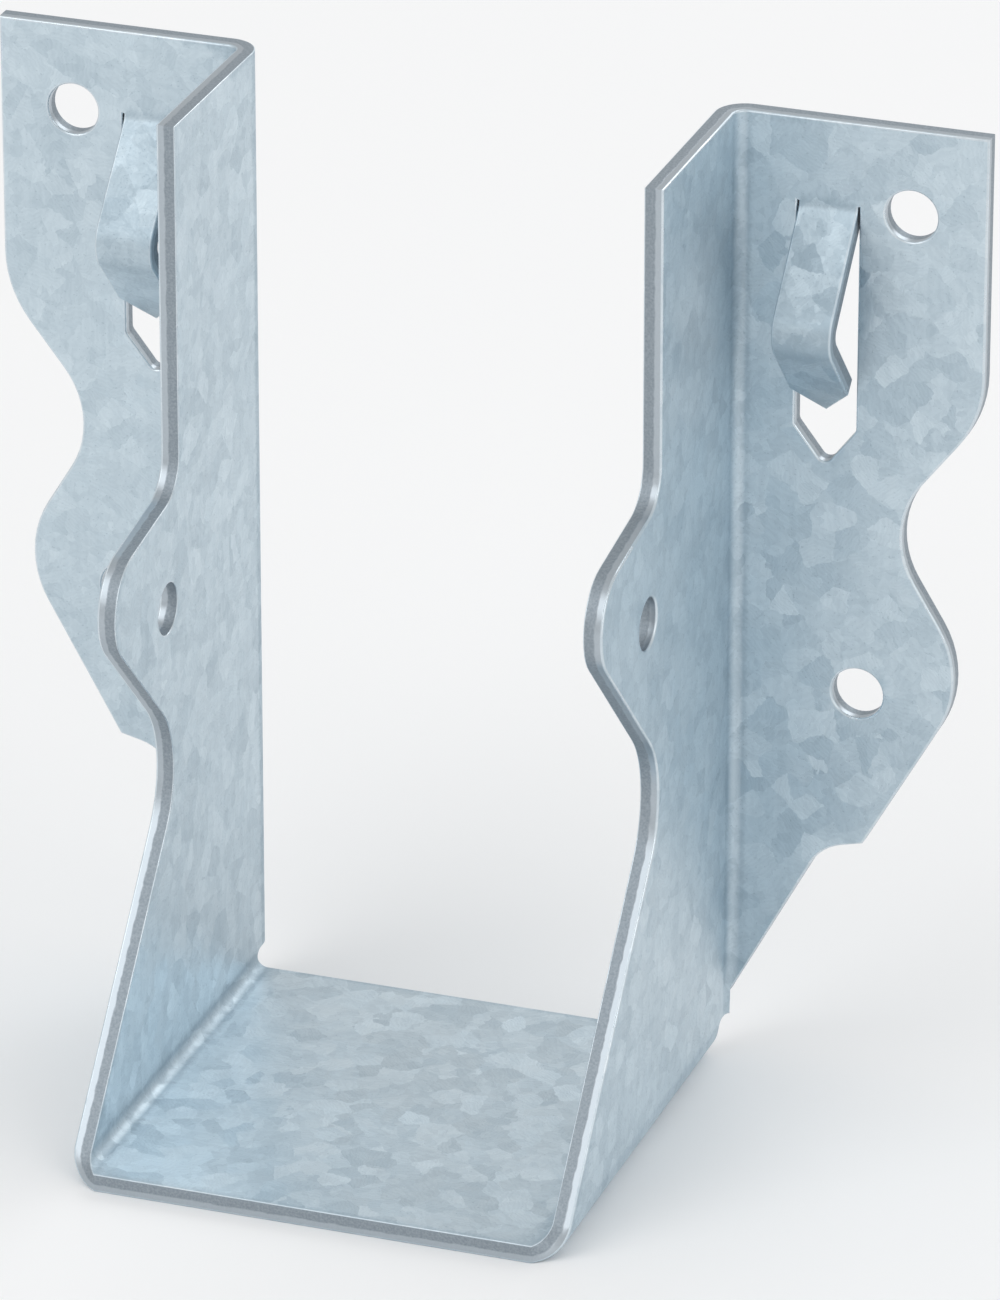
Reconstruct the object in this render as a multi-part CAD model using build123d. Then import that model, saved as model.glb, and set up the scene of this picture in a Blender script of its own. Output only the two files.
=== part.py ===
from build123d import *
import math
import os

# Joist hanger, folded from one blank of galvanised steel sheet.
# A seat carries the end of a joist, a wall stands up on each side of it, and the back edge
# of each wall is folded outward into a flange that is nailed to the face of a header beam.
# A prong is struck out of each flange, kneed forward and turned back through its own slot,
# so that a hammer blow on the knee drives its point into the header.
#
# Sizes are in millimetres and degrees. The hanger is drawn with X across the joist,
# Y = 0 on the header's face with the header behind it at +Y, and Z = 0 under the seat.
# It is then moved, so that the origin is the middle of the seat's bearing face.

# Sheet and folds
sheet = 1.6  # 16 gauge steel with its zinc
fold_radius = 1.0  # inside radius of every fold

# Pocket for the joist
joist_width = 38.1
joist_play = 1.6
hanger_height = 84.0
seat_front = 44.45  # header face to the seat's front edge
seat_back = 4.0  # header face to the seat's back edge

# Walls, with places given as (forward of the header face, height above the seat's underside)
wall_top_depth = 20.4
shelf_root_height = 55.0  # where the narrow top part steps forward into the lobe
shelf_root_radius = 3.5
lobe_corner = (40.0, 51.8)
lobe_radius = 4.6
lobe_underside_angle = 45.0  # lean of the lobe's lower edge from upright
toe_angle = 40.0  # lean of the edge that runs down to the seat's front, in the flat blank
wall_waist_radius = 8.0
joist_nail_place = (23.4, 45.4)
joist_nail_stagger = 4.8  # the right wall's nail and lobe stand this much above the left's

# Flanges, with places given as (in from the flange's outer edge, height)
flange_reach = 21.15
shoulder_height = 59.8
shoulder_radius = 10.0
flange_waist_corner = (8.4, 49.0)
flange_waist_radius = 7.8
ear_corner = (0.65, 36.3)
ear_radius = 9.0
step_tip = (9.65, 20.3)
step_root = (13.2, 19.45)
step_root_radius = 4.0
flange_foot_height = 4.7  # where the flange's lower edge meets the wall

# Nail holes
nail_hole_diameter = 4.4
upper_nail_out = 14.75
upper_nail_drop = 7.4  # below the top edge
lower_nail_place = (10.3, 33.9)  # in from the flange's outer edge, and height

# Struck prongs and their slots
prong_width = 5.0
prong_shear_gap = 0.12  # between each side of the prong and its slot
prong_out = 7.75  # centre of the prong, out from the wall's outer face
prong_root_drop = 7.2  # from the top edge to the slot's square end, where the prong's fold starts
slot_length = 23.0  # from that end to the tip of the slot
point_length = 3.4  # of the slot's pointed end, and of the prong's
prong_knee_offset = 7.7  # the knee's middle line, ahead of the flange's
point_setback = 0.05  # the tip stops this far short of the header's face
slot_corner_radius = 0.7

# Heel of each wall, where its two folds nearly meet
heel_height = 2.9  # above it the wall reaches back into the flange's fold
heel_radius = 0.9  # relief in the corner below
tail_turn = 45.0  # how far round that fold the sheet goes, between the heel and the flange's foot

# Sizes that follow from those above
pocket_half = (joist_width + joist_play) / 2
wall_outer = pocket_half + sheet
outside_radius = fold_radius + sheet
flange_edge = wall_outer + flange_reach
prong_x = wall_outer + prong_out
prong_root_height = hanger_height - prong_root_drop
slot_half = prong_width / 2 + prong_shear_gap
toe_slope = math.tan(math.radians(toe_angle))
fold_length = math.pi / 2 * (fold_radius + sheet / 2)  # of the sheet's middle, round a square fold
toe_start = (seat_front - toe_slope * fold_length, outside_radius)  # where the toe leaves the fold
beyond = 2 * hanger_height  # reach of the tools that trim a blank
tool_overlap = 0.8  # how far a cutting tool reaches past the sheet
toe_sections = 7  # across the fold, for the tool that cuts the toe through it


def crossing(first, first_lean, second, second_lean):
    """Return where two slanting lines meet.

    Each line passes through its point and leans forward by its angle for every step down.
    """
    first_slope = math.tan(math.radians(first_lean))
    second_slope = math.tan(math.radians(second_lean))
    height = (second[0] - first[0] + second_slope * second[1] - first_slope * first[1]) / (
        second_slope - first_slope
    )
    return (first[0] - first_slope * (height - first[1]), height)


def filled(corners):
    """Return the flat face inside a closed outline of (place, corner radius) pairs."""
    places = [place for place, _ in corners]
    radii = [radius for _, radius in corners]
    return make_face(FilletPolyline(*places, radius=radii, close=True))


def folded_channel():
    """Return the seat and both walls as one bent strip, running past the header face."""
    outer = [
        ((-wall_outer, 0), outside_radius),
        ((wall_outer, 0), outside_radius),
        ((wall_outer, hanger_height), 0),
        ((pocket_half, hanger_height), 0),
        ((pocket_half, sheet), fold_radius),
        ((-pocket_half, sheet), fold_radius),
        ((-pocket_half, hanger_height), 0),
        ((-wall_outer, hanger_height), 0),
    ]
    return extrude(Plane.XZ * filled(outer), seat_front)


def wall_outline(side):
    """Return the side view of one wall, seen along X, as a face in (forward, height)."""
    rise = side * joist_nail_stagger / 2
    lobe = (lobe_corner[0], lobe_corner[1] + rise)
    waist = crossing(lobe, -lobe_underside_angle, toe_start, toe_angle)
    return filled(
        [
            ((outside_radius, hanger_height), 0),
            ((wall_top_depth, hanger_height), 0),
            ((wall_top_depth, shelf_root_height + rise), shelf_root_radius),
            (lobe, lobe_radius),
            (waist, wall_waist_radius),
            (toe_start, 0),
            ((seat_front, outside_radius), 0),
            ((seat_front, 0), 0),
            ((seat_back, 0), 0),
            ((seat_back, heel_height), heel_radius),
            ((outside_radius, heel_height), 0),
        ]
    )


def side_plane(side):
    """Return a plane whose x is forward and y is up, facing out of one wall's outer face."""
    return Plane(origin=(side * wall_outer, 0, 0), x_dir=(0, -1, 0), z_dir=(-1, 0, 0))


def toe_waste(side):
    """Return the tool that cuts the toe through the fold, square to the sheet all the way.

    The toe is a straight cut in the flat blank, so it falls back evenly along the fold's arc.
    """
    inner = fold_radius - tool_overlap
    outer = outside_radius + tool_overlap
    front = seat_front + tool_overlap
    sections = []
    for step in range(toe_sections):
        share = step / (toe_sections - 1)
        turn = share * math.pi / 2
        outward = Vector(side * math.sin(turn), 0, -math.cos(turn))
        cut = seat_front - share * (seat_front - toe_start[0])
        plane = Plane(
            origin=(side * (wall_outer - outside_radius), 0, outside_radius),
            x_dir=outward,
            z_dir=outward.cross(Vector(0, -1, 0)),
        )
        corners = [(inner, cut), (outer, cut), (outer, front), (inner, front)]
        sections.append(plane * make_face(Polyline(*corners, close=True)))
    return loft(sections)


def trimmed_half(side):
    """Return one half of the channel, with its wall cut to its outline."""
    cutter = extrude(side_plane(side) * wall_outline(side), side * wall_outer)
    return (folded_channel() & cutter) - toe_waste(side)


def flange_blank(side):
    """Return one flange with the fold that joins it to its wall, full height and untrimmed."""
    wall_joint = -outside_radius - sheet  # a short stretch of wall, where the two are joined
    section = [
        ((side * flange_edge, 0), 0),
        ((side * flange_edge, -sheet), 0),
        ((side * wall_outer, -sheet), fold_radius),
        ((side * wall_outer, wall_joint), 0),
        ((side * pocket_half, wall_joint), 0),
        ((side * pocket_half, 0), outside_radius),
    ]
    return extrude(filled(section), hanger_height)


def flange_outline(side):
    """Return the front view of one flange as a face in (across, height)."""

    def across(place):
        return (side * (flange_edge - place[0]), place[1])

    return filled(
        [
            ((side * pocket_half, hanger_height), 0),
            ((side * flange_edge, hanger_height), 0),
            ((side * flange_edge, shoulder_height), shoulder_radius),
            (across(flange_waist_corner), flange_waist_radius),
            (across(ear_corner), ear_radius),
            (across(step_tip), 0),
            (across(step_root), step_root_radius),
            ((side * wall_outer, flange_foot_height), 0),
            ((side * pocket_half, flange_foot_height), 0),
        ]
    )


def fold_tail(side):
    """Return the first part of the flange's fold, from the heel up into the flange's foot."""
    centre = (side * (wall_outer + fold_radius), -outside_radius)
    reach = outside_radius + tool_overlap
    rise = reach * math.tan(math.radians(tail_turn))
    wedge = make_face(
        Polyline(
            centre,
            (centre[0] - side * reach, centre[1]),
            (centre[0] - side * reach, centre[1] + rise),
            close=True,
        )
    )
    top = flange_foot_height + fold_radius
    return flange_blank(side) & extrude(Plane.XY.offset(heel_height) * wedge, top - heel_height)


def prong_slot(side):
    """Return the tool that punches one slot: square at the top, pointed at the bottom."""
    x = side * prong_x
    tip = prong_root_height - slot_length
    outline = filled(
        [
            ((x - slot_half, prong_root_height), 0),
            ((x + slot_half, prong_root_height), 0),
            ((x + slot_half, tip + point_length), slot_corner_radius),
            ((x, tip), slot_corner_radius),
            ((x - slot_half, tip + point_length), slot_corner_radius),
        ]
    )
    return extrude(Plane.XZ * outline, sheet + tool_overlap, both=True)


def prong(side):
    """Return one struck prong: out to the knee, back to the header face, with a point."""
    x = side * prong_x
    leg = slot_length / 2
    middle = -sheet / 2
    bend_radius = fold_radius + sheet / 2
    out_lean = math.asin(prong_knee_offset / leg)

    # The first fold starts at the slot's square end.
    root = (middle, prong_root_height - bend_radius * math.tan(out_lean / 2))
    knee = (middle - prong_knee_offset, root[1] - leg * math.cos(out_lean))

    # The returning leg leans so that the back corner of its tip stops at the header face.
    reach = -point_setback - knee[0]
    back_lean = math.asin(reach / math.hypot(leg, sheet / 2)) - math.atan2(sheet / 2, leg)
    tip = (knee[0] + leg * math.sin(back_lean), knee[1] - leg * math.cos(back_lean))

    path = FilletPolyline(
        (x, middle, prong_root_height + sheet),
        (x, *root),
        (x, *knee),
        (x, *tip),
        radius=bend_radius,
    )
    section = Plane(origin=path @ 0, x_dir=(1, 0, 0), z_dir=path % 0) * Rectangle(prong_width, sheet)
    strip = sweep(section, path=path)

    toward_tip = (0, math.sin(back_lean), -math.cos(back_lean))
    leg_plane = Plane(
        origin=(x, *tip),
        x_dir=(1, 0, 0),
        z_dir=Vector(1, 0, 0).cross(Vector(*toward_tip)),
    )
    for edge in (-1, 1):
        waste = make_face(
            Polyline(
                (0, 0),
                (edge * prong_width, -2 * point_length),
                (edge * prong_width, tool_overlap),
                (0, tool_overlap),
                close=True,
            )
        )
        strip -= extrude(leg_plane * waste, sheet, both=True)
    return strip


def round_hole(place, axis_direction, diameter, length):
    """Return the tool for a round hole centred on a place, drilled both ways."""
    plane = Plane(origin=place, z_dir=axis_direction)
    return extrude(plane * Circle(diameter / 2), length, both=True)


def nail_holes(side):
    """Return the tools for the two header nails and the one joist nail on a side."""
    drill = sheet + tool_overlap
    upper = (side * (wall_outer + upper_nail_out), 0, hanger_height - upper_nail_drop)
    lower = (side * (flange_edge - lower_nail_place[0]), 0, lower_nail_place[1])
    forward, height = joist_nail_place
    joist = (side * wall_outer, -forward, height + side * joist_nail_stagger / 2)
    return [
        round_hole(upper, (0, 1, 0), nail_hole_diameter, drill),
        round_hole(lower, (0, 1, 0), nail_hole_diameter, drill),
        round_hole(joist, (1, 0, 0), nail_hole_diameter, drill),
    ]


def half_hanger(side):
    """Return one side of the hanger, from its centreline out to the flange's edge."""
    trim = extrude(Plane.XZ * flange_outline(side), beyond, both=True)
    body = trimmed_half(side) + (flange_blank(side) & trim) + fold_tail(side)
    body -= prong_slot(side)
    body += prong(side)
    for tool in nail_holes(side):
        body -= tool
    return body


hanger = half_hanger(-1) + half_hanger(1)

# Move the origin to the middle of the seat's bearing face.
seat_middle = (seat_front + seat_back) / 2
hanger = Location((0, seat_middle, -sheet)) * hanger

os.makedirs("parts", exist_ok=True)
export_step(hanger, "parts/hanger.step")
print("seat middle from the header face", seat_middle)
print("volume", round(hanger.volume), "solids", len(hanger.solids()))
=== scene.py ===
import logging
import math
from dataclasses import dataclass, field
from enum import Enum
from typing import Any, Optional, Sequence, Union

import bmesh
import bpy
import numpy as np
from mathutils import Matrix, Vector
from mathutils.bvhtree import BVHTree
from mathutils.geometry import delaunay_2d_cdt


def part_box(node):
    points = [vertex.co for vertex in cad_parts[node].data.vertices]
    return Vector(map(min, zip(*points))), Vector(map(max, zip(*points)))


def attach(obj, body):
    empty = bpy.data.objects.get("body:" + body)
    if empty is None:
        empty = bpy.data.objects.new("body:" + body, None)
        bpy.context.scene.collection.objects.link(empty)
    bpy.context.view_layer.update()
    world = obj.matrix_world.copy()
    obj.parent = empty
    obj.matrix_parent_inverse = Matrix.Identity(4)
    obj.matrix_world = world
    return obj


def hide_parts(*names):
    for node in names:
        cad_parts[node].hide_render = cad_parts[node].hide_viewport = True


# A joist hanger folded from one blank of galvanised sheet steel, on a pale studio floor.
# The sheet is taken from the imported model, its sheared arrises are softened as a punch and
# die leave them, and it is dressed in hot-dip zinc, with bare steel where it was sheared.
# Lengths are in metres. Names that end in _mm and the outlines of the flats are in millimetres.

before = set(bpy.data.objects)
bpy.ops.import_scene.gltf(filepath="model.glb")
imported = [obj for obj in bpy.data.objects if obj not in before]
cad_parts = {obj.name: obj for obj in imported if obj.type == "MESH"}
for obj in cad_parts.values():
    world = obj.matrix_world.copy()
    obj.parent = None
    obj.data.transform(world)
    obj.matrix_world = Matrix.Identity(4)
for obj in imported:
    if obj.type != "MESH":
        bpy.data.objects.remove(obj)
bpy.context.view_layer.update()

Colour = tuple[float, float, float]
Point = tuple[float, float, float]

MM = 0.001

# The middle of each noise and random value, which lie between 0 and 1.
MIDDLE = 0.5
# A Mix node has several sockets named A, B and Result. These are the numbers of its colour sockets.
MIX_FIRST, MIX_SECOND, MIX_RESULT = 6, 7, 2

log = logging.getLogger("joist_hanger")


class Skin(Enum):
    """Which part of the folded sheet a facet belongs to."""

    PUNCH_SIDE = 0
    DIE_SIDE = 1
    SHEARED = 2


class Dress(Enum):
    """The finishes on the sheet, numbered as its material slots are."""

    ZINC = 0
    SHEARED_STEEL = 1
    ARRIS = 2


class Wire:
    """One output of a shader node, on which sums are written as they are in Python."""

    def __init__(self, bench: "Bench", socket: bpy.types.NodeSocket) -> None:
        """Keep the socket and the bench that it lies on."""
        self.bench = bench
        self.socket = socket

    def __add__(self, other: "Term") -> "Wire":
        """Return this value plus another."""
        return self.bench.maths("ADD", self, other)

    def __radd__(self, other: "Term") -> "Wire":
        """Return another value plus this one."""
        return self.bench.maths("ADD", other, self)

    def __sub__(self, other: "Term") -> "Wire":
        """Return this value less another."""
        return self.bench.maths("SUBTRACT", self, other)

    def __rsub__(self, other: "Term") -> "Wire":
        """Return another value less this one."""
        return self.bench.maths("SUBTRACT", other, self)

    def __mul__(self, other: "Term") -> "Wire":
        """Return this value times another."""
        return self.bench.maths("MULTIPLY", self, other)

    def __rmul__(self, other: "Term") -> "Wire":
        """Return another value times this one."""
        return self.bench.maths("MULTIPLY", other, self)


Term = Union[Wire, float]
Feed = Union[Wire, float, Sequence[float]]


class Bench:
    """The nodes of one material, laid out by code."""

    def __init__(self, name: str) -> None:
        """Start an empty material.

        Args:
            name: The material's name.
        """
        self.material = bpy.data.materials.new(name)
        self.material.use_nodes = True
        self.tree = self.material.node_tree
        self.tree.nodes.clear()

    def node(self, kind: str, settings: dict[str, Any], inputs: dict[Any, Feed]) -> bpy.types.Node:
        """Add one node, set it up and connect it.

        Args:
            kind: The node's type, as Blender names it.
            settings: The node's own settings, which are set before its sockets.
            inputs: For each socket's name or number, a value or a wire.

        Returns:
            The new node.
        """
        made = self.tree.nodes.new(kind)
        for key, value in settings.items():
            setattr(made, key, value)
        for key, value in inputs.items():
            if isinstance(value, Wire):
                self.tree.links.new(value.socket, made.inputs[key])
            else:
                made.inputs[key].default_value = value
        return made

    def out(self, made: bpy.types.Node, output: Union[str, int] = 0) -> Wire:
        """Return one output of a node as a wire."""
        return Wire(self, made.outputs[output])

    def maths(self, operation: str, first: Term, second: Term = 0.0, clamp: bool = False) -> Wire:
        """Return the result of a Math node on two values.

        Args:
            operation: The operation, as Blender names it.
            first: The first value or wire.
            second: The second value or wire.
            clamp: Whether the result is held between 0 and 1.

        Returns:
            The result as a wire.
        """
        settings = {"operation": operation, "use_clamp": clamp}
        return self.out(self.node("ShaderNodeMath", settings, {0: first, 1: second}))

    def held(self, value: Wire) -> Wire:
        """Return a value held between 0 and 1."""
        return self.maths("ADD", value, 0.0, clamp=True)

    def ramp(self, value: Wire, low: float, high: float) -> Wire:
        """Return 0 below low and 1 above high, with a smooth rise between them."""
        settings = {"interpolation_type": "SMOOTHSTEP"}
        inputs = {"Value": value, "From Min": low, "From Max": high}
        return self.out(self.node("ShaderNodeMapRange", settings, inputs))

    def vector(self, operation: str, inputs: dict[Any, Feed], output: Union[str, int] = 0) -> Wire:
        """Return one output of a Vector Math node."""
        return self.out(self.node("ShaderNodeVectorMath", {"operation": operation}, inputs), output)

    def centred(self, colour: Wire, reach: float) -> Wire:
        """Return a random colour as a vector whose parts go from -reach to reach."""
        return self.vector("MULTIPLY_ADD", {0: colour, 1: (2 * reach,) * 3, 2: (-reach,) * 3})

    def blend(self, factor: Wire, first: Colour, second: Colour) -> Wire:
        """Return a colour mixed from two, the second where the factor is 1."""
        inputs = {"Factor": self.held(factor), MIX_FIRST: opaque(first), MIX_SECOND: opaque(second)}
        return self.out(self.node("ShaderNodeMix", {"data_type": "RGBA"}, inputs), MIX_RESULT)

    def carried(self, name: str) -> Wire:
        """Return a value that the mesh carries at each of its points."""
        return self.out(self.node("ShaderNodeAttribute", {"attribute_name": name}, {}), "Fac")

    def facing(self) -> Wire:
        """Return the way that the surface faces."""
        return self.out(self.node("ShaderNodeNewGeometry", {}, {}), "Normal")

    def raised(self, height_mm: Wire, facing: Wire) -> Wire:
        """Return the way that the surface faces once its grain is raised by a height."""
        inputs = {"Height": height_mm, "Distance": MM, "Strength": 1.0, "Normal": facing}
        return self.out(self.node("ShaderNodeBump", {}, inputs))

    def place_mm(self) -> Wire:
        """Return the place on the object, in millimetres."""
        here = self.out(self.node("ShaderNodeTexCoord", {}, {}), "Object")
        return self.vector("SCALE", {0: here, "Scale": 1 / MM})

    def parts(self, value: Wire) -> tuple[Wire, Wire, Wire]:
        """Return the three parts of a vector or a colour."""
        made = self.node("ShaderNodeSeparateXYZ", {}, {0: value})
        return self.out(made, 0), self.out(made, 1), self.out(made, 2)

    def noise(
        self, place: Wire, grain_mm: float, layers: float = 2.0, output: Union[str, int] = 0
    ) -> Wire:
        """Return a noise whose blotches are about one grain wide.

        Args:
            place: Where on the object, in millimetres.
            grain_mm: The width of a blotch.
            layers: How many finer layers it has.
            output: The output, which is a value first and then a colour.

        Returns:
            The noise as a wire, around 0.5.
        """
        inputs = {"Vector": place, "Scale": 1 / grain_mm, "Detail": layers}
        return self.out(self.node("ShaderNodeTexNoise", {}, inputs), output)

    def finish(self, sockets: dict[str, Feed]) -> bpy.types.Material:
        """Close the material with its surface shader.

        Args:
            sockets: The values and wires of the shader's sockets.

        Returns:
            The finished material.
        """
        shader = self.node("ShaderNodeBsdfPrincipled", {}, sockets)
        self.node("ShaderNodeOutputMaterial", {}, {"Surface": self.out(shader)})
        return self.material


def opaque(colour: Colour) -> tuple[float, float, float, float]:
    """Return a colour with its alpha added."""
    return (*colour, 1.0)


def between(share: Wire, first: Term, second: Term) -> Wire:
    """Return a value that goes from first to second as a share goes from 0 to 1."""
    return first + (second - first) * share


@dataclass(frozen=True)
class Marks:
    """How strongly each kind of mark in the zinc shows."""

    crystals: float = 0.0
    small_crystals: float = 0.0
    feathers: float = 0.0
    clouds: float = 0.0
    lines: float = 0.0
    specks: float = 0.0
    # Folds: partly frosted zinc, partly painted shade.
    folds: float = 0.0


@dataclass(frozen=True)
class ZincFinish:
    """Hot-dip zinc: frosted crystals of uneven tone, over a faintly rolled sheet, with painted shade in
    its folds.
    """

    name: str
    dark: Colour = (0.455, 0.55, 0.615)
    light: Colour = (0.69, 0.79, 0.85)
    roughness: float = 0.44
    shade: Marks = Marks(
        crystals=0.36,
        small_crystals=0.24,
        feathers=0.06,
        clouds=0.50,
        lines=0.25,
        specks=-0.30,
        # Darker in the folds: frosted zinc, and painted shade that dims the highlights there.
        folds=-0.30,
    )
    gloss: Marks = Marks(crystals=0.13, small_crystals=0.08, clouds=0.16, specks=0.10, folds=0.14)
    height_mm: Marks = Marks(small_crystals=0.006, feathers=0.0015, lines=0.005)
    tilt: float = 0.05
    crystal_mm: float = 2.2
    small_crystal_mm: float = 0.9
    ragged_mm: float = 0.8
    ragged_reach_mm: float = 0.35
    feather_mm: float = 0.34
    feather_bend_mm: float = 0.5
    feather_bend: float = 9.0
    cloud_mm: float = 14.0
    line_mm: float = 0.45
    line_stretch: float = 25.0
    lying: tuple[float, float] = (0.35, 0.65)
    speck_mm: float = 0.22
    speck_level: tuple[float, float] = (0.66, 0.74)
    # The band of frost and painted shade along the folds: its crazing and its ramp.
    crazing_mm: float = 0.35
    crazing: float = 0.7
    frosted: tuple[float, float] = (0.45, 1.05)
    wave_mm: float = 9.0
    wave_height_mm: float = 0.05

    def build(self) -> bpy.types.Material:
        """Build the material.

        Returns:
            The finished material.
        """
        bench = Bench(self.name)
        place = bench.place_mm()
        swing = bench.centred(bench.noise(place, self.ragged_mm, output="Color"), self.ragged_reach_mm)
        ragged = bench.vector("ADD", {0: place, 1: swing})

        crystal = self.cells(bench, ragged, self.crystal_mm)
        tone, sheen, _ = bench.parts(crystal)
        small_tone, _, small_sheen = bench.parts(self.cells(bench, ragged, self.small_crystal_mm))
        feathers = self.feathers(bench, ragged, crystal)
        cloud = bench.noise(place, self.cloud_mm, layers=3.0)
        lines = self.rolling(bench, place)
        specks = bench.ramp(bench.noise(place, self.speck_mm, layers=1.0), *self.speck_level)
        # Frosted zinc and painted shade where the sheet was folded.
        frost_and_painted_shade = self.frost_and_painted_shade(bench, place)

        shade = (
            MIDDLE
            + self.shade.crystals * (tone - MIDDLE)
            + self.shade.small_crystals * (small_tone - MIDDLE)
            + self.shade.feathers * feathers
            + self.shade.clouds * (cloud - MIDDLE)
            + self.shade.lines * (lines - MIDDLE)
            + self.shade.specks * specks
            # Painted shade and frosted zinc darken the folds.
            + self.shade.folds * frost_and_painted_shade
        )
        roughness = (
            self.roughness
            + self.gloss.crystals * (sheen - MIDDLE)
            + self.gloss.small_crystals * (small_sheen - MIDDLE)
            + self.gloss.clouds * (cloud - MIDDLE)
            + self.gloss.specks * specks
            + self.gloss.folds * frost_and_painted_shade
        )
        height_mm = (
            self.height_mm.feathers * feathers
            + self.height_mm.small_crystals * small_tone
            + self.height_mm.lines * lines
            + self.wave_height_mm * bench.noise(place, self.wave_mm, layers=1.0)
        )
        leaning = bench.vector("ADD", {0: bench.facing(), 1: bench.centred(crystal, self.tilt)})
        return bench.finish(
            {
                "Base Color": bench.blend(shade, self.dark, self.light),
                "Metallic": 1.0,
                "Roughness": roughness,
                "Normal": bench.raised(height_mm, bench.vector("NORMALIZE", {0: leaning})),
            }
        )

    def cells(self, bench: Bench, place: Wire, size_mm: float) -> Wire:
        """Return a random colour for each crystal of about the given width."""
        settings = {"voronoi_dimensions": "3D", "feature": "F1"}
        inputs = {"Vector": place, "Scale": 1 / size_mm, "Randomness": 1.0}
        return bench.out(bench.node("ShaderNodeTexVoronoi", settings, inputs), "Color")

    def feathers(self, bench: Bench, place: Wire, crystal: Wire) -> Wire:
        """Return fine streaks from -1 to 1 that run their own way in each crystal."""
        way = bench.centred(crystal, 1.0)
        along = bench.vector("DOT_PRODUCT", {0: place, 1: way}, "Value")
        bend = self.feather_bend * bench.noise(place, self.feather_bend_mm, layers=3.0)
        return bench.maths("SINE", along * (math.tau / self.feather_mm) + bend)

    def rolling(self, bench: Bench, place: Wire) -> Wire:
        """Return faint lines along the blank, which run up the walls and across the seat."""
        squeeze = 1 / self.line_stretch
        upright, level = (
            bench.noise(bench.vector("MULTIPLY", {0: place, 1: scale}), self.line_mm)
            for scale in ((1.0, 1.0, squeeze), (squeeze, 1.0, 1.0))
        )
        _, _, rise = bench.parts(bench.facing())
        return between(bench.ramp(rise * rise, *self.lying), upright, level)

    def frost_and_painted_shade(self, bench: Bench, place: Wire) -> Wire:
        """Return from 0 to 1 how far the zinc has frosted where the sheet was folded, which also paints
        shade there.
        """
        crazing = bench.noise(place, self.crazing_mm, layers=3.0) - MIDDLE
        return bench.ramp(bench.carried(FoldedSheet.FOLDED) + self.crazing * crazing, *self.frosted)


@dataclass(frozen=True)
class Band:
    """One band of a sheared edge: its shade, its grain's contrast, its gloss and its grain's height."""

    shade: float
    contrast: float
    roughness: float
    height_mm: float


@dataclass(frozen=True)
class ShearedFinish:
    """A sheared edge: a burnished band where the punch entered, and a torn grey one."""

    name: str
    dark: Colour = (0.29, 0.335, 0.375)
    light: Colour = (0.50, 0.555, 0.60)
    burnished: Band = Band(shade=0.8, contrast=0.4, roughness=0.36, height_mm=0.0035)
    torn: Band = Band(shade=0.2, contrast=1.3, roughness=0.58, height_mm=0.0385)
    burnished_share: float = 0.42
    border: float = 0.1
    ragged_mm: float = 0.9
    ragged: float = 0.35
    grain_mm: float = 0.20
    uneven_gloss: float = 0.1

    def build(self) -> bpy.types.Material:
        """Build the material.

        Returns:
            The finished material.
        """
        bench = Bench(self.name)
        place = bench.place_mm()
        ragged = self.ragged * (bench.noise(place, self.ragged_mm, layers=3.0) - MIDDLE)
        depth = bench.carried(FoldedSheet.THROUGH) + ragged
        limit = 1 - 2 * self.burnished_share
        polished = bench.ramp(depth, limit - self.border, limit + self.border)
        grain = bench.noise(place, self.grain_mm, layers=3.0)

        torn, burnished = self.torn, self.burnished
        contrast = between(polished, torn.contrast, burnished.contrast)
        shade = between(polished, torn.shade, burnished.shade) + contrast * (grain - MIDDLE)
        roughness = between(polished, torn.roughness, burnished.roughness)
        height_mm = between(polished, torn.height_mm, burnished.height_mm) * grain
        return bench.finish(
            {
                "Base Color": bench.blend(shade, self.dark, self.light),
                "Metallic": 1.0,
                "Roughness": roughness + self.uneven_gloss * (grain - MIDDLE),
                "Normal": bench.raised(height_mm, bench.facing()),
            }
        )


Corners = dict[tuple[int, Skin], list[int]]


@dataclass(frozen=True)
class Arris:
    """An edge between a skin and the sheared metal, with the ways out of the skin and down from it."""

    edge: bmesh.types.BMEdge
    facet: bmesh.types.BMFace
    skin: Skin
    outward: Vector
    downward: Vector


@dataclass
class Shell:
    """The sheet's surface while it is laid again, point by point and facet by facet."""

    points: list[Vector] = field(default_factory=list)
    through: list[float] = field(default_factory=list)
    folded: list[float] = field(default_factory=list)
    facets: list[tuple[int, ...]] = field(default_factory=list)
    dress: list[Dress] = field(default_factory=list)

    def add_point(self, place: Vector, through: float, folded: bool) -> int:
        """Add a point, which knows its depth in the sheet and whether it lies in a fold.

        Args:
            place: The point.
            through: Its depth, from 1 on the punch's side to -1 on the die's.
            folded: Whether it lies in a fold.

        Returns:
            The point's number.
        """
        self.points.append(place)
        self.through.append(through)
        self.folded.append(float(folded))
        return len(self.points) - 1

    def add_facet(self, corners: Sequence[int], dress: Dress) -> None:
        """Add one facet with its finish."""
        self.facets.append(tuple(corners))
        self.dress.append(dress)


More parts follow.
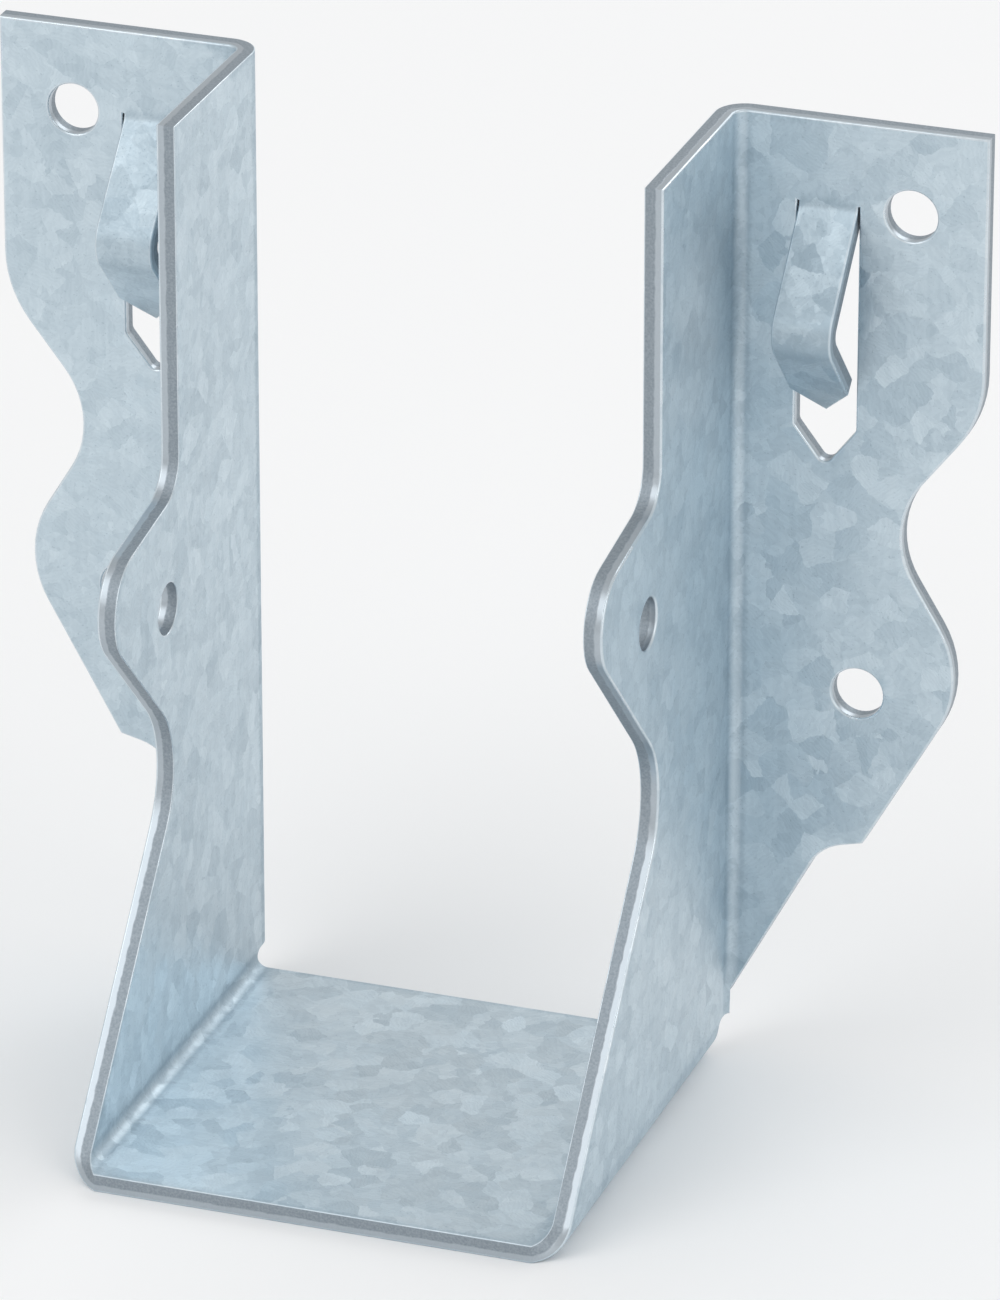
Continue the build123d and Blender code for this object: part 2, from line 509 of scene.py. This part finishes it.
@dataclass
class FoldedSheet:
    """The hanger's one sheet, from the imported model, with its arrises as shearing leaves them."""

    THROUGH = "through"
    FOLDED = "folded"

    # In gauges, how deep a probe of the sheet's thickness starts, and the most that it may find.
    PROBE_START = 0.01
    THICKEST = 1.25
    # How nearly parallel the sheet's two skins are at least, as a cosine.
    PARALLEL = 0.9
    # The least square of the cosine between a fold and the way out, so that no step runs far.
    LEAST_SQUARE = 0.4
    # How much of the way to a neighbour a point may step back.
    ROOM = 0.6

    node: str = "hanger"
    name: str = "hanger_sheet"
    body: str = "root"
    slot: str = "galvanised_sheet"
    gauge: float = 1.6 * MM
    die_roll: float = 0.18 * MM
    burr_break: float = 0.09 * MM
    roll_steps: int = 4
    weld: float = 0.001 * MM
    facet_side: float = 2.0 * MM
    least_flat: float = 100.0 * MM * MM
    flat_deg: float = 0.3
    sharp_deg: float = 32.0

    def build(self) -> bpy.types.Object:
        """Make the sheet's object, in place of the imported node.

        Returns:
            The finished object.
        """
        mesh = self.read()
        skins = self.sort_skins(mesh)
        arrises = self.find_arrises(mesh, skins)
        shell = Shell()
        corners = self.place_corners(mesh, skins, arrises, shell)
        self.lay_strips(arrises, shell, corners)
        laid: set[int] = set()
        for flat in self.find_flats(mesh, skins):
            self.lay_flat(flat, skins, shell, corners)
            laid.update(face.index for face in flat)
        for face in mesh.faces:
            if face.index not in laid:
                skin = skins[face.index]
                dress = Dress.SHEARED_STEEL if skin is Skin.SHEARED else Dress.ZINC
                shell.add_facet([self.corner(corners, vert, skin) for vert in face.verts], dress)
        mesh.free()
        return self.make_object(shell)

    def read(self) -> bmesh.types.BMesh:
        """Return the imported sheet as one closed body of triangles."""
        mesh = bmesh.new()
        mesh.from_mesh(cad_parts[self.node].data)
        bmesh.ops.remove_doubles(mesh, verts=mesh.verts, dist=self.weld)
        bmesh.ops.triangulate(mesh, faces=mesh.faces)
        mesh.verts.index_update()
        mesh.faces.index_update()
        return mesh

    def sort_skins(self, mesh: bmesh.types.BMesh) -> list[Skin]:
        """Tell the sheet's two skins from its sheared edges, by how thick it is behind each facet.

        Args:
            mesh: The sheet, as one closed body.

        Returns:
            The skin of each facet, in order.
        """
        tree = BVHTree.FromBMesh(mesh)
        skins = []
        for face in mesh.faces:
            centre = face.calc_center_median()
            start = centre - face.normal * (self.PROBE_START * self.gauge)
            _, facing, _, depth = tree.ray_cast(start, -face.normal)
            thick = depth is None or depth > self.THICKEST * self.gauge
            if thick or facing.dot(face.normal) > -self.PARALLEL:
                skins.append(Skin.SHEARED)
                continue
            # The die's side faces the pocket from the seat and walls, and the header from the flanges.
            die_side = face.normal.dot(Vector((-math.copysign(1, centre.x), 1, 1))) > 0
            skins.append(Skin.DIE_SIDE if die_side else Skin.PUNCH_SIDE)
        return skins

    def find_arrises(self, mesh: bmesh.types.BMesh, skins: list[Skin]) -> list[Arris]:
        """Find the edges where a skin meets the sheared metal.

        Args:
            mesh: The sheet.
            skins: The skin of each facet.

        Returns:
            The arrises, in the order of the sheet's edges.
        """
        arrises = []
        for edge in mesh.edges:
            top, side = sorted(edge.link_faces, key=lambda face: skins[face.index].value)
            skin = skins[top.index]
            if skin is not Skin.SHEARED and skins[side.index] is Skin.SHEARED:
                arrises.append(Arris(edge, top, skin, way_out(edge, top), -way_out(edge, side)))
        return arrises

    def place_corners(
        self, mesh: bmesh.types.BMesh, skins: list[Skin], arrises: list[Arris], shell: Shell
    ) -> Corners:
        """Place the points that stand for each vertex of the sheet.

        Args:
            mesh: The sheet.
            skins: The skin of each facet.
            arrises: The sheet's arrises.
            shell: The shell, which gets the points.

        Returns:
            For each vertex of an arris and its skin, the points from the skin to the sheared
            edge, and for each other vertex its one point under every skin.
        """
        ends: dict[tuple[int, Skin], list[Arris]] = {}
        for arris in arrises:
            for vert in arris.edge.verts:
                ends.setdefault((vert.index, arris.skin), []).append(arris)
        mesh.verts.ensure_lookup_table()
        corners = {}
        for (index, skin), ending in ends.items():
            vert = mesh.verts[index]
            fold = self.fold_line(vert, skin, skins)
            corners[index, skin] = self.roll(vert, skin, ending, fold, shell)
        depths = self.depths(mesh, skins)
        for vert in mesh.verts:
            if not any((vert.index, skin) in corners for skin in Skin):
                skin = skins[vert.link_faces[0].index]
                folded = self.fold_line(vert, skin, skins) is not None
                point = [shell.add_point(vert.co.copy(), depths.get(vert.index, 0.0), folded)]
                corners.update({(vert.index, skin): point for skin in Skin})
        return corners

    def depths(self, mesh: bmesh.types.BMesh, skins: list[Skin]) -> dict[int, float]:
        """Work out how deep the vertices in the middle of a sheared edge lie.

        Args:
            mesh: The sheet.
            skins: The skin of each facet.

        Returns:
            For each such vertex, its depth from 1 on the punch's side to -1 on the die's.
        """
        places = [vert.co for vert in mesh.verts]
        sides = []
        for skin in (Skin.PUNCH_SIDE, Skin.DIE_SIDE):
            facets = [face.verts for face in mesh.faces if skins[face.index] is skin]
            numbers = [[vert.index for vert in verts] for verts in facets]
            sides.append(BVHTree.FromPolygons(places, numbers))
        depths = {}
        for vert in mesh.verts:
            if all(skins[face.index] is Skin.SHEARED for face in vert.link_faces):
                to_punch, to_die = (side.find_nearest(vert.co)[3] for side in sides)
                depths[vert.index] = (to_die - to_punch) / (to_die + to_punch)
        return depths

    def fold_line(self, vert: bmesh.types.BMVert, skin: Skin, skins: list[Skin]) -> Optional[Vector]:
        """Return the way along the fold in which a vertex lies, if it lies in one.

        Args:
            vert: The vertex.
            skin: The skin to look at.
            skins: The skin of each facet.

        Returns:
            The way along the skin's sharpest inner edge there, or None on a flat.
        """
        sharpest, found = math.radians(self.flat_deg), None
        for edge in vert.link_edges:
            inner = all(skins[face.index] is skin for face in edge.link_faces)
            if inner and edge.calc_face_angle() > sharpest:
                sharpest = edge.calc_face_angle()
                found = (edge.other_vert(vert).co - vert.co).normalized()
        return found

    def roll(
        self,
        vert: bmesh.types.BMVert,
        skin: Skin,
        ending: list[Arris],
        fold: Optional[Vector],
        shell: Shell,
    ) -> list[int]:
        """Place the points that round one vertex of an arris.

        Args:
            vert: The sharp vertex.
            skin: The skin that the arris bounds.
            ending: The arrises that end at the vertex.
            fold: The way along the fold there, which the points on the skin keep to.
            shell: The shell, which gets the points.

        Returns:
            The points' numbers, from the skin to the sheared edge.
        """
        radius = self.die_roll if skin is Skin.PUNCH_SIDE else self.burr_break
        sign = 1 if skin is Skin.PUNCH_SIDE else -1
        outward = mitred([arris.outward for arris in ending])
        downward = mitred([arris.downward for arris in ending])
        if fold is not None:
            share = outward.dot(fold)
            outward = fold * (share / max(self.LEAST_SQUARE, share**2))
        else:
            outward *= self.room(vert, outward * radius)
        numbers = []
        for step in range(self.roll_steps + 1):
            turn = math.pi / 2 * step / self.roll_steps
            inset, sink = 1 - math.sin(turn), 1 - math.cos(turn)
            point = vert.co - outward * (radius * inset) + downward * (radius * sink)
            through = sign * (1 - 2 * radius * sink / self.gauge)
            numbers.append(shell.add_point(point, through, fold is not None))
        return numbers

    def room(self, vert: bmesh.types.BMVert, step: Vector) -> float:
        """Return the share of a step back from the arris that stays short of each neighbour."""
        share = 1.0
        for edge in vert.link_edges:
            way = edge.other_vert(vert).co - vert.co
            reach = -step.dot(way)
            if reach > 0:
                share = min(share, self.ROOM * way.length_squared / reach)
        return share

    def lay_strips(self, arrises: list[Arris], shell: Shell, corners: Corners) -> None:
        """Lay the rolled strip along each arris.

        Args:
            arrises: The sheet's arrises.
            shell: The shell, which gets the strips.
            corners: The points that stand for each vertex.
        """
        for arris in arrises:
            first, second = in_order(arris.edge, arris.facet)
            ahead, behind = corners[first.index, arris.skin], corners[second.index, arris.skin]
            for step in range(self.roll_steps):
                strip = (behind[step], ahead[step], ahead[step + 1], behind[step + 1])
                shell.add_facet(strip, Dress.ARRIS)

    def corner(self, corners: Corners, vert: bmesh.types.BMVert, skin: Skin) -> int:
        """Return the point that stands for a vertex on a facet of the given skin."""
        if skin is not Skin.SHEARED:
            return corners[vert.index, skin][0]
        for side in (Skin.PUNCH_SIDE, Skin.DIE_SIDE, Skin.SHEARED):
            if (vert.index, side) in corners:
                return corners[vert.index, side][-1]
        raise ValueError(f"vertex {vert.index} has no point")

    def find_flats(self, mesh: bmesh.types.BMesh, skins: list[Skin]) -> list[list[bmesh.types.BMFace]]:
        """Find the sheet's large flat stretches.

        Args:
            mesh: The sheet.
            skins: The skin of each facet.

        Returns:
            The facets of each flat.
        """
        seen: set[int] = set()
        flats = []
        for seed in mesh.faces:
            if seed.index in seen or skins[seed.index] is Skin.SHEARED:
                continue
            flat, waiting = [], [seed]
            seen.add(seed.index)
            while waiting:
                face = waiting.pop()
                flat.append(face)
                for edge in face.edges:
                    for other in edge.link_faces:
                        turned = other.normal.angle(seed.normal) > math.radians(self.flat_deg)
                        if other.index in seen or turned or skins[other.index] is not skins[seed.index]:
                            continue
                        seen.add(other.index)
                        waiting.append(other)
            if sum(face.calc_area() for face in flat) > self.least_flat:
                flats.append(flat)
        return flats

    def lay_flat(
        self, flat: list[bmesh.types.BMFace], skins: list[Skin], shell: Shell, corners: Corners
    ) -> None:
        """Lay one flat again with even triangles that meet its rolled arrises.

        Args:
            flat: The flat's facets.
            skins: The skin of each facet.
            shell: The shell, which gets the triangles.
            corners: The points that stand for each vertex.
        """
        skin = skins[flat[0].index]
        inside = {face.index for face in flat}
        normal = flat[0].normal
        across = normal.orthogonal().normalized()
        up = normal.cross(across)
        rows: dict[int, int] = {}
        border = []
        for face in flat:
            for loop in face.loops:
                if all(other.index in inside for other in loop.edge.link_faces):
                    continue
                ends = (loop.vert, loop.link_loop_next.vert)
                points = [self.corner(corners, end, skin) for end in ends]
                border.append(tuple(rows.setdefault(point, len(rows)) for point in points))
        numbers = list(rows)
        level = shell.points[numbers[0]].dot(normal)
        flat_places = [(shell.points[n].dot(across) / MM, shell.points[n].dot(up) / MM) for n in numbers]
        outline = Outline(np.array(flat_places), np.array(border))
        extra = outline.grid(self.facet_side / MM)
        for x, y in extra:
            place = across * (x * MM) + up * (y * MM) + normal * level
            numbers.append(shell.add_point(place, 0.0, False))
        for triangle in outline.triangles(extra):
            shell.add_facet([numbers[corner] for corner in triangle], Dress.ZINC)

    def make_object(self, shell: Shell) -> bpy.types.Object:
        """Turn the shell into an object with smooth folds.

        Args:
            shell: The finished shell.

        Returns:
            The object, with no finishes yet.
        """
        used = sorted({corner for facet in shell.facets for corner in facet})
        renumbered = {old: new for new, old in enumerate(used)}
        facets = [tuple(renumbered[corner] for corner in facet) for facet in shell.facets]
        data = bpy.data.meshes.new(self.name)
        data.from_pydata([shell.points[old] for old in used], [], facets)
        data.polygons.foreach_set("material_index", [dress.value for dress in shell.dress])
        for name, values in ((self.THROUGH, shell.through), (self.FOLDED, shell.folded)):
            layer = data.attributes.new(name, "FLOAT", "POINT")
            layer.data.foreach_set("value", [values[old] for old in used])
        data.shade_smooth()
        data.set_sharp_from_angle(angle=math.radians(self.sharp_deg))
        piece = bpy.data.objects.new(self.name, data)
        bpy.context.scene.collection.objects.link(piece)
        even = piece.modifiers.new("even_shading", "WEIGHTED_NORMAL")
        even.keep_sharp = True
        return piece

    def dress(self, piece: bpy.types.Object) -> None:
        """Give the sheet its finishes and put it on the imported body.

        Args:
            piece: The sheet's object.
        """
        zinc = ZincFinish("hot_dip_zinc")
        sheared = ShearedFinish("sheared_steel")
        arris = ZincFinish(
            "rubbed_arris", dark=(0.55, 0.64, 0.70), light=(0.74, 0.80, 0.84), roughness=0.32
        )
        for finish in (zinc, sheared, arris):
            piece.data.materials.append(finish.build())
        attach(piece, self.body)
        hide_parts(self.node)


@dataclass(frozen=True)
class Outline:
    """A flat's border in its own plane, in millimetres."""

    LEAST_SIDE = 1e-6
    LEAST_AREA = 1e-5

    places: np.ndarray
    border: np.ndarray

    def holds(self, spots: np.ndarray) -> np.ndarray:
        """Tell which spots lie inside the border, by how often a ray from each crosses it."""
        start, end = self.places[self.border[:, 0]], self.places[self.border[:, 1]]
        x, y = spots[:, :1], spots[:, 1:]
        spans = (start[:, 1] > y) != (end[:, 1] > y)
        rise = np.where(end[:, 1] == start[:, 1], 1.0, end[:, 1] - start[:, 1])
        crossing = start[:, 0] + (y - start[:, 1]) * (end[:, 0] - start[:, 0]) / rise
        return (spans & (crossing > x)).sum(axis=1) % 2 == 1

    def clearance(self, spots: np.ndarray) -> np.ndarray:
        """Return how far each spot lies from the border."""
        start, end = self.places[self.border[:, 0]], self.places[self.border[:, 1]]
        along = end - start
        squares = np.maximum((along**2).sum(axis=1), self.LEAST_SIDE**2)
        share = ((spots[:, None] - start) * along).sum(axis=2) / squares
        nearest = start + np.clip(share, 0, 1)[..., None] * along
        return np.sqrt(((spots[:, None] - nearest) ** 2).sum(axis=2)).min(axis=1)

    def grid(self, pitch: float) -> list[tuple[float, float]]:
        """Return the spots of a triangular grid that lie well inside the border.

        Args:
            pitch: The distance between two spots.

        Returns:
            The spots.
        """
        low, high = self.places.min(axis=0), self.places.max(axis=0)
        lift = pitch * math.sqrt(3) / 2
        spots = []
        for row in range(int((high[1] - low[1]) / lift) + 1):
            shift = pitch / 2 * (row % 2)
            for column in range(int((high[0] - low[0]) / pitch) + 1):
                spots.append((low[0] + shift + column * pitch, low[1] + row * lift))
        found = np.array(spots)
        kept = found[self.holds(found) & (self.clearance(found) > pitch / 2)]
        return [tuple(spot) for spot in kept.tolist()]

    def triangles(self, extra: list[tuple[float, float]]) -> list[tuple[int, int, int]]:
        """Fill the border with triangles.

        Args:
            extra: More spots for the triangles' corners, inside the border.

        Returns:
            The corners of each triangle, as numbers among the places and then the extra spots.
        """
        spots = [Vector(place) for place in self.places.tolist() + extra]
        edges = [tuple(pair) for pair in self.border.tolist()]
        found = delaunay_2d_cdt(spots, edges, [], 0, self.LEAST_SIDE)
        places, facets, sources = found[0], found[2], found[3]
        triangles = np.array(places)[np.array(facets)]
        first, second = triangles[:, 1] - triangles[:, 0], triangles[:, 2] - triangles[:, 0]
        wide = np.abs(first[:, 0] * second[:, 1] - first[:, 1] * second[:, 0]) > self.LEAST_AREA
        kept = np.flatnonzero(wide & self.holds(triangles.mean(axis=1)))
        return [tuple(sources[corner][0] for corner in facets[index]) for index in kept]


def way_out(edge: bmesh.types.BMEdge, face: bmesh.types.BMFace) -> Vector:
    """Return the way out of a facet across one of its edges, in the facet's plane."""
    first, second = (vert.co for vert in edge.verts)
    out = (second - first).cross(face.normal).normalized()
    return out if out.dot((first + second) / 2 - face.calc_center_median()) > 0 else -out


def mitred(ways: Sequence[Vector], least: float = 0.5) -> Vector:
    """Return the one step that leads as far in each of two ways as either does alone.

    Args:
        ways: The two ways, or just one of them.
        least: The least that the ways may agree, so that a sharp mitre doesn't run far out.

    Returns:
        The step.
    """
    total = sum(ways, Vector((0, 0, 0)))
    return total / max(total.dot(ways[0]), least)


def in_order(edge: bmesh.types.BMEdge, face: bmesh.types.BMFace) -> tuple[bmesh.types.BMVert, ...]:
    """Return an edge's two vertices in the order that a facet goes round them."""
    loop = next(loop for loop in face.loops if loop.edge == edge)
    return loop.vert, loop.link_loop_next.vert


@dataclass(frozen=True)
class Softbox:
    """One square studio lamp that faces the hanger."""

    name: str
    place: Point
    side: float
    watts: float

    def hang(self, target: Vector) -> None:
        """Put the lamp up, facing the target.

        Args:
            target: The point that the lamp faces.
        """
        lamp = bpy.data.lights.new(self.name, "AREA")
        lamp.shape = "SQUARE"
        lamp.size = self.side
        lamp.energy = self.watts
        holder = bpy.data.objects.new(self.name, lamp)
        holder.location = self.place
        holder.rotation_euler = (target - holder.location).to_track_quat("-Z", "Y").to_euler()
        bpy.context.scene.collection.objects.link(holder)


@dataclass
class Studio:
    """A pale floor under a plain soft sky, with softboxes round the hanger."""

    floor_side: float = 16.0
    floor_colour: Colour = (0.93, 0.935, 0.94)
    floor_roughness: float = 0.6
    sky_colour: Colour = (1.0, 1.0, 1.0)
    sky_strength: float = 0.72
    softboxes: tuple[Softbox, ...] = (
        Softbox("key", place=(-0.80, -0.95, 1.15), side=1.40, watts=7.5),
        Softbox("fill", place=(1.30, -0.60, 0.70), side=1.20, watts=4.0),
        Softbox("rim", place=(0.35, 1.25, 0.95), side=0.90, watts=4.0),
    )

    def build(self, low: Vector, high: Vector) -> None:
        """Lay the floor and put up the lamps.

        Args:
            low: The hanger's lowest corner.
            high: Its highest corner.
        """
        self.lay_floor(low.z)
        self.light_sky()
        for box in self.softboxes:
            box.hang((low + high) / 2)

    def lay_floor(self, height: float) -> None:
        """Lay the floor at a height."""
        half = self.floor_side / 2
        corners = [(x * half, y * half, height) for x, y in ((-1, -1), (1, -1), (1, 1), (-1, 1))]
        data = bpy.data.meshes.new("floor")
        data.from_pydata(corners, [], [(0, 1, 2, 3)])
        floor = bpy.data.objects.new("floor", data)
        bpy.context.scene.collection.objects.link(floor)
        bench = Bench("pale_floor")
        data.materials.append(
            bench.finish({"Base Color": opaque(self.floor_colour), "Roughness": self.floor_roughness})
        )

    def light_sky(self) -> None:
        """Give the world one even pale colour."""
        world = bpy.data.worlds.new("sky")
        world.use_nodes = True
        sky = world.node_tree.nodes["Background"]
        sky.inputs["Color"].default_value = opaque(self.sky_colour)
        sky.inputs["Strength"].default_value = self.sky_strength
        bpy.context.scene.world = world


@dataclass
class Viewpoint:
    """The camera, at the angle that the picture of the hanger was drawn from."""

    place: Point = (0.2423, -0.6636, 0.3606)
    turn_deg: float = 19.36
    drop_deg: float = 24.34
    picture_height: float = 1300.0
    focal_pixels: float = 9586.1
    sensor_mm: float = 36.0
    nearest: float = 0.01
    farthest: float = 50.0

    def build(self) -> None:
        """Put the camera in place and make it the scene's own."""
        lens = bpy.data.cameras.new("camera")
        lens.sensor_fit = "VERTICAL"
        lens.sensor_height = self.sensor_mm
        lens.lens = self.focal_pixels / self.picture_height * self.sensor_mm
        lens.clip_start = self.nearest
        lens.clip_end = self.farthest
        camera = bpy.data.objects.new("camera", lens)
        camera.location = self.place
        camera.rotation_euler = (math.radians(90 - self.drop_deg), 0, math.radians(self.turn_deg))
        bpy.context.scene.collection.objects.link(camera)
        bpy.context.scene.camera = camera


def main() -> None:
    """Build the hanger, the studio and the camera, in that order."""
    logging.basicConfig(level=logging.INFO, format="%(name)s: %(message)s")
    sheet = FoldedSheet()
    piece = sheet.build()
    sheet.dress(piece)
    log.info("%s: %d facets", piece.name, len(piece.data.polygons))
    Studio().build(*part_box(sheet.node))
    log.info("studio: floor and lamps are up")
    Viewpoint().build()
    log.info("camera: in place")
    scene = bpy.context.scene
    scene.view_settings.view_transform = "Standard"


if __name__ == "__main__":
    main()
